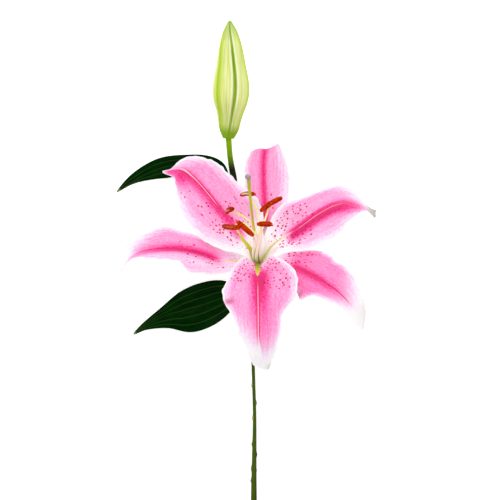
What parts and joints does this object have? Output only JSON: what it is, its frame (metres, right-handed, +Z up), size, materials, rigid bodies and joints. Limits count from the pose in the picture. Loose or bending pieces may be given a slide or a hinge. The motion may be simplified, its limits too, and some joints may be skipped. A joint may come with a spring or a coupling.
{
  "type": "cut lily",
  "caption": "Cut pink lily lying on its back: an open star-shaped bloom with recurved tepals and long stamens, a closed bud and dark leaves on a thin stem.",
  "frame": {"origin": "middle of the footprint, on the surface that the flower lies on", "axes": "+Y along the stem towards the bud, +Z up, which is the way the open bloom faces, +X to the right as seen from above with the bud away from the viewer"},
  "size_m": [0.2076, 0.4047, 0.0921],
  "materials": {
    "stem": "smooth waxy green stem, yellower on the flower stalks",
    "bud": "pale yellow-green bud, matt, with greener seams and keels",
    "leaf": "dark green glossy leaf with parallel veins",
    "tepal": "satin pink tepal, deeper along the midrib, white at the margins, spotted near the throat",
    "filament": "smooth pale yellow-green stalk",
    "anther": "powdery orange-brown pollen",
    "style": "smooth yellow-green",
    "stigma": "sticky greyish mauve"
  },
  "bodies": {
    "root": {"stem": "stem", "bud": "bud", "leaf_lower": "leaf", "leaf_upper": "leaf", "inner_tepal_lower": "tepal", "inner_tepal_upper_right": "tepal", "inner_tepal_upper_left": "tepal", "outer_tepal_left": "tepal", "outer_tepal_upper": "tepal", "outer_tepal_lower_right": "tepal", "filament_1": "filament", "filament_2": "filament", "filament_3": "filament", "filament_4": "filament", "filament_5": "filament", "filament_6": "filament", "anther_1": "anther", "anther_2": "anther", "anther_3": "anther", "anther_4": "anther", "anther_5": "anther", "anther_6": "anther", "pistil": "style", "stigma": "stigma"}
  },
  "joints": []
}
